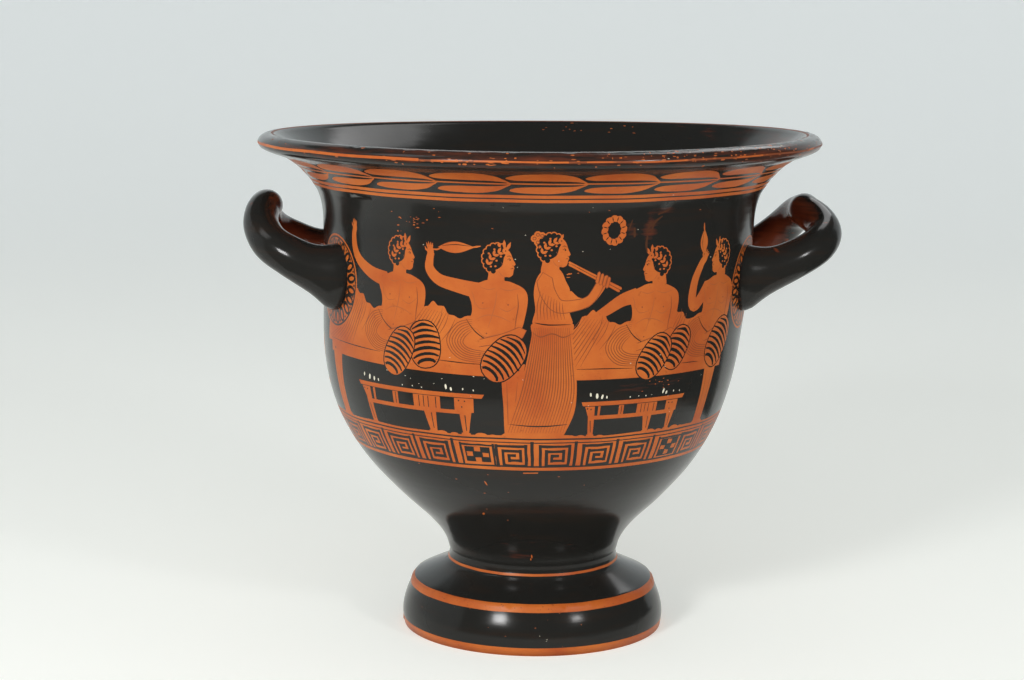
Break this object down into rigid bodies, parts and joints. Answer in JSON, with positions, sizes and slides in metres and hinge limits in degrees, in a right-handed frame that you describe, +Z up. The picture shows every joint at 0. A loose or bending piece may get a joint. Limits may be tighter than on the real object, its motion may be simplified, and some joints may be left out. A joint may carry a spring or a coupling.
{
  "type": "greek krater",
  "caption": "Bell-shaped Greek mixing bowl for wine and water, with upturned loop handles, a flaring rounded lip, a short stem and a disc foot.",
  "frame": {"origin": "on the ground below the bowl's upright axis, at the middle of the foot's underside", "axes": "+Z up along the bowl's axis, X through both handles, the main picture faces -Y"},
  "size_m": [0.3876, 0.3662, 0.3276],
  "materials": {
    "clay": "glossy black slip over orange fired clay"
  },
  "bodies": {
    "root": {"krater": "clay"}
  },
  "joints": []
}
